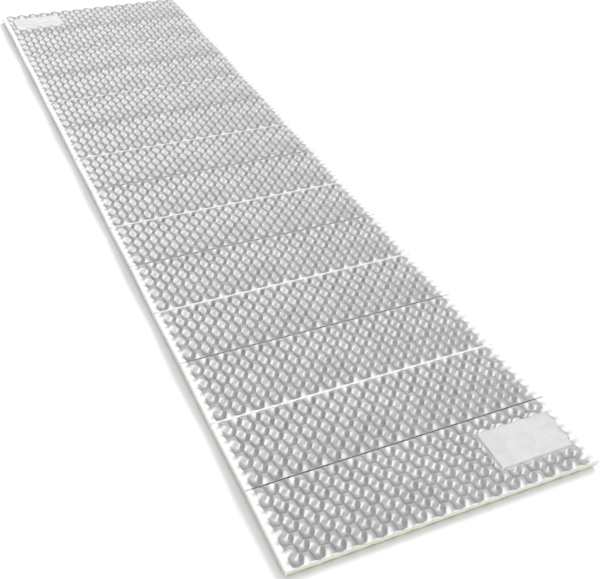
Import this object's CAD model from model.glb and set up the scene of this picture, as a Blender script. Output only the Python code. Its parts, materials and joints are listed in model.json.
"""The looks of the folding foam sleeping pad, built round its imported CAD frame.

Lengths are in metres.
"""

import itertools
import json
import math

import bpy
import numpy as np
from mathutils import Euler, Matrix, Vector


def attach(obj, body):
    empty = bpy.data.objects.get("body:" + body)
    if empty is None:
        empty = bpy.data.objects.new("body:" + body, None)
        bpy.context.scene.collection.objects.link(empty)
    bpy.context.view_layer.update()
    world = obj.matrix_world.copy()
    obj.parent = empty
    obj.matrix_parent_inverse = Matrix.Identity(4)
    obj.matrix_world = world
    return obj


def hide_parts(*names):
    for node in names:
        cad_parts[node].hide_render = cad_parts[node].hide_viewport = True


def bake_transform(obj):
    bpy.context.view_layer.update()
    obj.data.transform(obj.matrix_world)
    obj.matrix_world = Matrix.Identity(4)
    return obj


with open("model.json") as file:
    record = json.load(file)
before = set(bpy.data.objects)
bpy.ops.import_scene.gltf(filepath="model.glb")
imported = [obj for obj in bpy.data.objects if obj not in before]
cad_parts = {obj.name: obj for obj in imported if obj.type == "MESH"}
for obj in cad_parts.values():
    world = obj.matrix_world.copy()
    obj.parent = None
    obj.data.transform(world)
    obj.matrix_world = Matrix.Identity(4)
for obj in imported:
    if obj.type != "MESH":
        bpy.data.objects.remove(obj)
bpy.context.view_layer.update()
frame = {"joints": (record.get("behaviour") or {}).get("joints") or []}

MM = 0.001

# The pad's plan, as in the CAD source.
PANELS = 14
PAD_L = 1830 * MM
PAD_W = 510 * MM
RISE = 4 * MM
PANEL_L = PAD_L / PANELS
TILT = math.asin(RISE / PANEL_L)
FOAM_T = 9.5 * MM
TOP_Z = 10 * MM
MEET_Z = 5 * MM
CELL = 15.5 * MM
SHIFT = 2.5 * MM
ROWS = 8
COLUMNS = 31
FOLD_GAP = 0.5 * MM
DOME_TOP_R = 4 * MM
PITCH = PANEL_L * math.cos(TILT) + 2 * MEET_Z * math.sin(TILT)
FOOT_Y = (ROWS - 1) / 2 * CELL + DOME_TOP_R
PANEL_Z = FOOT_Y * math.sin(TILT) + TOP_Z * math.cos(TILT)
PANEL_END = PANEL_L / 2 - FOLD_GAP / 2
CELLS_X = COLUMNS * CELL / 2
CELLS_Y = ROWS * CELL / 2

# The embossed surface.
PLATE_Z = FOAM_T / 2
RELIEF = TOP_Z - PLATE_Z
DOME_R = 11 * MM
FULLNESS = 2.0
FILM_T = 0.2 * MM
# The rounded rim along the sides, and how close it comes to a full quarter circle.
RIM = 2.5 * MM
RIM_ROUNDNESS = 0.98
# How far the film is turned down over the sides and ends, and the width of that turn.
SIDE_WRAP = 7 * MM
SIDE_TURN = 0.3 * MM
END_WRAP = 3.5 * MM
END_TURN = 0.4 * MM
# Where the film is pressed plain, the domes and dimples are lower than this share of their height.
PLAIN_SHARE = 1 / 3

# The surface's grid: steps over each cell, lines near the edges as shares of the rim and of the
# turned-down end, and the gap to the first line beside the cells.
STEPS = 8
RIM_LINES = np.array([1.5, 1.0, 0.75, 0.5, 0.3, 0.15, 0.05, 0.0])
END_LINES = np.array([1.6, 1.0, 0.75, 0.5, 0.3, 0.15, 0.0])
BESIDE_CELLS = 2 * MM

# The label patch.
PATCH_W = 130 * MM
PATCH_L = 70 * MM
PATCH_END = 34 * MM
PATCH_SIDE = 20 * MM
PATCH_Z = 9 * MM
# The width over which the domes and the pressed look fade, and those of the patch's own slopes.
PATCH_FADE = 1.5 * MM
PATCH_SLOPE = 3 * MM
BAR_H = 0.6 * MM
BAR_SLOPE = 0.8 * MM
# The bars' places and sizes, as shares of the patch.
BARS = [(0.1, 0.54, 0.8, 0.16), (0.58, 0.28, 0.32, 0.14)]
LABEL_LINES = (131, 91)
LABEL_PRESSED = 0.5

# The strips that join the panels at their folds.
STRIP_REACH = 1.6 * MM
STRIP_T = 0.15 * MM
STRIP_OFFSET = 0.05 * MM
STRIP_LINES = (35, 17)


def panel_frame(k):
    """Where panel k's own frame is: X across, Y along, Z up from the middle of its foam."""
    tilt = TILT if k % 2 else -TILT
    place = Vector((0, (k - (PANELS + 1) / 2) * PITCH, PANEL_Z))
    return Matrix.Translation(place) @ Matrix.Rotation(tilt, 4, "X")


def body(k):
    return f"panel_{k:02d}"


# --- Surfaces -------------------------------------------------------------------------------


def lines_across():
    """Grid lines across a panel: even steps over the cells, and closer ones round the rim."""
    cells = np.linspace(-CELLS_X, CELLS_X, COLUMNS * STEPS + 1) - SHIFT
    beside = cells[0] - BESIDE_CELLS, cells[-1] + BESIDE_CELLS
    rim = PAD_W / 2 - RIM * RIM_LINES
    return np.concatenate([-rim[::-1], [beside[0]], cells, [beside[1]], rim])


def lines_along():
    """Grid lines along a panel: even steps over the cells, and closer ones at the ends."""
    cells = np.linspace(-CELLS_Y, CELLS_Y, ROWS * STEPS + 1)
    end = PANEL_END - END_TURN * END_LINES
    return np.concatenate([-end[::-1], cells, end])


def smooth(t):
    """A soft step from 0 to 1."""
    t = np.clip(t, 0, 1)
    return t * t * (3 - 2 * t)


def dome(r):
    """A round dome's height at a distance from its middle, as a share of the full height."""
    return 1 - np.clip(r / DOME_R, 0, 1) ** FULLNESS


def relief(x, y):
    """The checkerboard of domes (1) and dimples (-1)."""
    column = np.rint((x + SHIFT) / CELL + (COLUMNS - 1) / 2)
    row = np.rint(y / CELL + (ROWS - 1) / 2)
    bumps = np.zeros_like(x)
    for i, j in itertools.product((-1, 0, 1), repeat=2):
        c, r = column + i, row + j
        real = (c >= 0) & (c < COLUMNS) & (r >= 0) & (r < ROWS)
        sign = np.where((c + r) % 2 == 1, 1, -1)
        dx = x + SHIFT - (c - (COLUMNS - 1) / 2) * CELL
        dy = y - (r - (ROWS - 1) / 2) * CELL
        bumps += np.where(real, sign * dome(np.hypot(dx, dy)), 0)
    return bumps


def rim_drop(distance):
    """How far the rounded rim falls below its face, at a distance in from the edge."""
    t = np.clip(1 - distance / RIM, 0, 1)
    return RIM * (1 - np.sqrt(1 - RIM_ROUNDNESS * t * t))


def turned_down(distance, turn, depth):
    """How far the film falls where it is turned down over an edge."""
    return depth * np.clip(1 - distance / turn, 0, 1) ** 2


def patch_corners(k):
    """The two corners of panel k's label patch, in the panel's frame, or None."""
    low = Vector((PAD_W / 2 - PATCH_SIDE - PATCH_W, PATCH_END - PANEL_L / 2))
    high = low + Vector((PATCH_W, PATCH_L))
    if k == 1:
        return low, high
    if k == PANELS:
        return -high, -low
    return None


def bar_corners(k, x, y, width, length):
    """The two corners of a bar on panel k's patch, from its shares of the patch."""
    low, high = patch_corners(k)
    side, start = (1, low) if k == 1 else (-1, high)
    one = start + side * Vector((x * PATCH_W, y * PATCH_L))
    two = one + side * Vector((width * PATCH_W, length * PATCH_L))
    return Vector(map(min, one, two)), Vector(map(max, one, two))


def outside(x, y, low, high):
    """How far points lie outside a rectangle, by the larger of their two distances."""
    across = np.maximum(low[0] - x, x - high[0])
    along = np.maximum(low[1] - y, y - high[1])
    return np.maximum(across, along)


def panel_surface(k):
    """The heights of panel k's two faces, and where its film is pressed plain."""
    xs, ys = lines_across(), lines_along()
    x, y = np.meshgrid(xs, ys)
    # The patch flattens only the upper face. The lower one has all its domes and dimples.
    under = relief(x, y)
    bumps = under
    if patch_corners(k):
        bumps = under * np.clip(outside(x, y, *patch_corners(k)) / PATCH_FADE, 0, 1)
    side = PAD_W / 2 - np.abs(x)
    end = PANEL_END - np.abs(y)
    side_wrap = turned_down(side, SIDE_TURN, SIDE_WRAP)
    end_wrap = turned_down(end, END_TURN, END_WRAP)
    fall = np.maximum(rim_drop(side), np.maximum(side_wrap, end_wrap))
    top = PLATE_Z + RELIEF * bumps - fall
    low = -PLATE_Z + RELIEF * under + rim_drop(side)
    # The plain film lies along the sides and along the panel's lower end.
    low_end = -1 if k % 2 else 1
    margin = np.maximum(np.abs(x + SHIFT) - CELLS_X, low_end * y - CELLS_Y)
    pressed = smooth(margin / PATCH_FADE) * smooth(1 - np.abs(bumps) / PLAIN_SHARE)
    if patch_corners(k):
        on_patch = smooth(1 - outside(x, y, *patch_corners(k)) / PATCH_FADE)
        pressed = np.maximum(pressed, on_patch)
    return xs, ys, top, low, pressed


# --- Meshes ---------------------------------------------------------------------------------


def slab_faces(nx, ys):
    """The triangles of a closed slab between two grids of points, the upper grid first."""
    ny = len(ys)
    index = np.arange(nx * ny).reshape(ny, nx)
    a, b = index[:-1, :-1], index[:-1, 1:]
    c, d = index[1:, 1:], index[1:, :-1]
    # Each square is split in mirror image on the two halves, so that folded panels lie evenly.
    near = ((ys[:-1] + ys[1:]) < 0)[:, None]
    one = np.stack([a, b, np.where(near, c, d)], -1).reshape(-1, 3)
    two = np.stack([np.where(near, a, b), c, d], -1).reshape(-1, 3)
    up = np.concatenate([one, two])
    down = up[:, ::-1] + nx * ny
    ring = np.concatenate([index[0, :-1], index[:-1, -1], index[-1, :0:-1], index[:0:-1, 0]])
    after = np.roll(ring, -1)
    wall_one = np.stack([ring, ring + nx * ny, after], -1)
    wall_two = np.stack([after, ring + nx * ny, after + nx * ny], -1)
    return np.concatenate([up, down, wall_one, wall_two]).astype(np.int32)


def triangle_mesh(name, points, faces):
    mesh = bpy.data.meshes.new(name)
    mesh.vertices.add(len(points))
    mesh.vertices.foreach_set("co", points.astype(np.float32).ravel())
    mesh.loops.add(faces.size)
    mesh.loops.foreach_set("vertex_index", faces.ravel())
    mesh.polygons.add(len(faces))
    mesh.polygons.foreach_set("loop_start", np.arange(0, faces.size, 3, dtype=np.int32))
    mesh.polygons.foreach_set("use_smooth", np.ones(len(faces), bool))
    mesh.update(calc_edges=True)
    mesh.validate()
    return mesh


def slab(name, xs, ys, top, low, material, pressed=None):
    """A closed piece between two height fields on one grid."""
    x, y = np.meshgrid(xs, ys)
    upper = np.stack([x, y, top], -1).reshape(-1, 3)
    lower = np.stack([x, y, low], -1).reshape(-1, 3)
    mesh = triangle_mesh(name, np.concatenate([upper, lower]), slab_faces(len(xs), ys))
    if pressed is not None:
        flat = np.concatenate([pressed.ravel(), pressed.ravel()]).astype(np.float32)
        mesh.attributes.new("pressed", "FLOAT", "POINT").data.foreach_set("value", flat)
    mesh.materials.append(material)
    piece = bpy.data.objects.new(name, mesh)
    bpy.context.scene.collection.objects.link(piece)
    return piece


# --- Materials ------------------------------------------------------------------------------


# Each look runs from its darker colour to its lighter one.
SILVER = (0.36, 0.36, 0.36), (0.46, 0.46, 0.46)
PRESSED_FILM = (0.50, 0.50, 0.49), (0.54, 0.54, 0.53)
YELLOW_FOAM = (0.56, 0.56, 0.38), (0.63, 0.63, 0.44)
SILVER_METAL = 0.85
PRESSED_METAL = 0.3
WRINKLE_DEPTH = 0.5 * MM
PORE_DEPTH = 0.12 * MM


class Nodes:
    """A material's node tree, with short calls for the nodes used here."""

    def __init__(self, name):
        self.material = bpy.data.materials.new(name)
        self.material.use_nodes = True
        self.tree = self.material.node_tree
        self.shader = self.tree.nodes["Principled BSDF"]
        self.place = self.add("ShaderNodeTexCoord").outputs["Object"]

    def add(self, kind, **settings):
        node = self.tree.nodes.new(kind)
        for key, value in settings.items():
            setattr(node, key, value)
        return node

    def link(self, source, target):
        self.tree.links.new(source, target)

    def noise(self, scale, detail=3.0, roughness=0.5):
        node = self.add("ShaderNodeTexNoise")
        node.inputs["Scale"].default_value = scale
        node.inputs["Detail"].default_value = detail
        node.inputs["Roughness"].default_value = roughness
        self.link(self.place, node.inputs["Vector"])
        return node.outputs["Fac"]

    def ramp(self, fac, low, high, colours):
        """The first colour up to low, the second one from high on, and between them a mix."""
        node = self.add("ShaderNodeValToRGB")
        for element, position, colour in zip(node.color_ramp.elements, (low, high), colours):
            element.position = position
            element.color = (*colour, 1)
        self.link(fac, node.inputs["Fac"])
        return node.outputs["Color"]

    def remap(self, fac, low, high):
        node = self.add("ShaderNodeMapRange")
        node.inputs["To Min"].default_value = low
        node.inputs["To Max"].default_value = high
        self.link(fac, node.inputs["Value"])
        return node.outputs["Result"]

    def mix(self, fac, a, b):
        node = self.add("ShaderNodeMix", data_type="RGBA")
        self.link(fac, node.inputs["Factor"])
        self.link(a, node.inputs["A"])
        self.link(b, node.inputs["B"])
        return node.outputs["Result"]

    def bump(self, height, distance):
        node = self.add("ShaderNodeBump")
        node.inputs["Distance"].default_value = distance
        self.link(height, node.inputs["Height"])
        self.link(node.outputs["Normal"], self.shader.inputs["Normal"])


def film_material():
    """Wrinkled silver film, duller and less metallic where it is pressed plain."""
    m = Nodes("silver_film")
    pressed = m.add("ShaderNodeAttribute", attribute_name="pressed").outputs["Fac"]
    silver = m.ramp(m.noise(60), 0.3, 0.7, SILVER)
    plain = m.ramp(m.noise(9), 0.35, 0.65, PRESSED_FILM)
    m.link(m.mix(pressed, silver, plain), m.shader.inputs["Base Color"])
    m.link(m.remap(pressed, SILVER_METAL, PRESSED_METAL), m.shader.inputs["Metallic"])
    m.link(m.remap(m.noise(35), 0.34, 0.46), m.shader.inputs["Roughness"])
    m.bump(m.noise(190, detail=5, roughness=0.6), WRINKLE_DEPTH)
    return m.material


def foam_material():
    """Matt yellowish foam with fine pores."""
    m = Nodes("foam")
    m.link(m.ramp(m.noise(25), 0.3, 0.7, YELLOW_FOAM), m.shader.inputs["Base Color"])
    m.link(m.remap(m.noise(90), 0.7, 0.9), m.shader.inputs["Roughness"])
    m.bump(m.noise(1500, detail=2), PORE_DEPTH)
    return m.material


FILM = film_material()
FOAM = foam_material()


# --- Pieces ---------------------------------------------------------------------------------


def add_panel(k):
    """A foam panel and the film that is bonded to its upper face."""
    xs, ys, top, low, pressed = panel_surface(k)
    film = slab(f"film_{k:02d}", xs, ys, top, top - FILM_T, FILM, pressed)
    foam = slab(f"foam_{k:02d}", xs, ys, top - FILM_T, low, FOAM)
    for piece in (film, foam):
        piece.matrix_world = panel_frame(k)
        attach(piece, body(k))
    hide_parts(f"foam_panel_{k:02d}")


def add_label(k, name):
    """A smooth raised patch with two plain bars."""
    low, high = patch_corners(k)
    xs = np.linspace(low[0], high[0], LABEL_LINES[0])
    ys = np.linspace(low[1], high[1], LABEL_LINES[1])
    x, y = np.meshgrid(xs, ys)
    top = PLATE_Z + (PATCH_Z - PLATE_Z) * smooth(-outside(x, y, low, high) / PATCH_SLOPE)
    for bar in BARS:
        top += BAR_H * smooth(-outside(x, y, *bar_corners(k, *bar)) / BAR_SLOPE)
    foot = np.full_like(top, PLATE_Z)
    pressed = np.full_like(top, LABEL_PRESSED)
    label = slab(f"label_{name}", xs, ys, top, foot, FILM, pressed)
    label.matrix_world = panel_frame(k)
    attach(label, body(k))
    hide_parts(f"label_patch_{name}")


def add_strip(fold):
    """The thin pressed strip that joins two panels at a fold and bends with it."""
    pivot = next(j["pos_m"] for j in frame["joints"] if j["name"] == f"fold_{fold:02d}")
    # High folds turn about the underside and low ones about the top.
    face = pivot[2] + (-STRIP_OFFSET if fold % 2 else STRIP_OFFSET)
    half_w = PAD_W / 2 - RIM / 2
    xs = np.linspace(-half_w, half_w, STRIP_LINES[0])
    ys = pivot[1] + np.linspace(-STRIP_REACH, STRIP_REACH, STRIP_LINES[1])
    top = np.full((len(ys), len(xs)), face)
    strip = slab(f"strip_{fold:02d}", xs, ys, top, top - STRIP_T, FILM, np.ones_like(top))
    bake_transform(strip)
    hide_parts(f"fold_{fold:02d}")


for k in range(1, PANELS + 1):
    add_panel(k)
add_label(1, "near")
add_label(PANELS, "far")
for fold in range(1, PANELS):
    add_strip(fold)


# --- Studio ---------------------------------------------------------------------------------


FLOOR_SIZE = 30
FLOOR_COLOUR = (0.47, 0.47, 0.47, 1)
FLOOR_ROUGHNESS = 0.9

SUN_FROM = (0.6, 0.45, 0.65)
SUN_STRENGTH = 4
SUN_WIDTH_DEG = 25

ROOM_LIGHT = 0.9
# Each zone: the direction of its middle, the angles from it, in degrees, at which it starts to
# fade into the room and at which it ends, and its strength.
LIGHT_ZONES = [
    ((-0.45, -0.5, 0.73), 30, 62, 2.7),
    ((0.3, 0.92, 0.15), 10, 40, 1.5),
    ((-0.9, 0.45, 0.05), 12, 45, 0.1),
]

# The camera that fits the pad's corners and the folds' ends.
CAMERA_PLACE = (-0.578, -1.4047, 0.9594)
CAMERA_TURN_DEG = (48.94, -2.66, -22.66)
CAMERA_SHIFT = (0.1113, 0.0273)
CAMERA_REACH = 100
LENS_MM = 50.08
SENSOR_MM = 36


def add_floor():
    bpy.ops.mesh.primitive_plane_add(size=FLOOR_SIZE, location=(0, 0, 0))
    floor = bpy.context.object
    floor.name = "floor"
    material = bpy.data.materials.new("floor")
    material.use_nodes = True
    shader = material.node_tree.nodes["Principled BSDF"]
    shader.inputs["Base Color"].default_value = FLOOR_COLOUR
    shader.inputs["Roughness"].default_value = FLOOR_ROUGHNESS
    floor.data.materials.append(material)


def add_sun():
    """A soft light from behind on the right, which the film doesn't mirror."""
    light = bpy.data.lights.new("sun", "SUN")
    light.energy = SUN_STRENGTH
    light.angle = math.radians(SUN_WIDTH_DEG)
    sun = bpy.data.objects.new("sun", light)
    sun.rotation_euler = Vector(SUN_FROM).to_track_quat("Z", "Y").to_euler()
    sun.visible_glossy = False
    bpy.context.scene.collection.objects.link(sun)


def add_world():
    """A studio of soft light: an even room, with brighter and darker parts that fade into it."""
    world = bpy.data.worlds.new("studio")
    world.use_nodes = True
    tree = world.node_tree
    background = tree.nodes["Background"]
    background.inputs["Color"].default_value = (1, 1, 1, 1)
    ray = tree.nodes.new("ShaderNodeTexCoord").outputs["Generated"]
    glow = None
    for towards, inner, outer, strength in LIGHT_ZONES:
        dot = tree.nodes.new("ShaderNodeVectorMath")
        dot.operation = "DOT_PRODUCT"
        dot.inputs[1].default_value = Vector(towards).normalized()
        tree.links.new(ray, dot.inputs[0])
        fade = tree.nodes.new("ShaderNodeMapRange")
        fade.interpolation_type = "SMOOTHSTEP"
        fade.inputs["From Min"].default_value = math.cos(math.radians(outer))
        fade.inputs["From Max"].default_value = math.cos(math.radians(inner))
        fade.inputs["To Max"].default_value = strength - ROOM_LIGHT
        tree.links.new(dot.outputs["Value"], fade.inputs["Value"])
        add = tree.nodes.new("ShaderNodeMath")
        add.operation = "ADD"
        tree.links.new(fade.outputs["Result"], add.inputs[0])
        # The first zone is added to the room's light, and each other one to the zones before it.
        add.inputs[1].default_value = ROOM_LIGHT
        if glow:
            tree.links.new(glow, add.inputs[1])
        glow = add.outputs["Value"]
    tree.links.new(glow, background.inputs["Strength"])
    bpy.context.scene.world = world


def add_camera():
    data = bpy.data.cameras.new("camera")
    data.lens = LENS_MM
    data.sensor_width = SENSOR_MM
    data.shift_x, data.shift_y = CAMERA_SHIFT
    data.clip_end = CAMERA_REACH
    camera = bpy.data.objects.new("camera", data)
    camera.location = CAMERA_PLACE
    camera.rotation_euler = Euler([math.radians(a) for a in CAMERA_TURN_DEG], "XYZ")
    bpy.context.scene.collection.objects.link(camera)
    bpy.context.scene.camera = camera


add_floor()
add_sun()
add_world()
add_camera()
bpy.context.scene.view_settings.view_transform = "Standard"
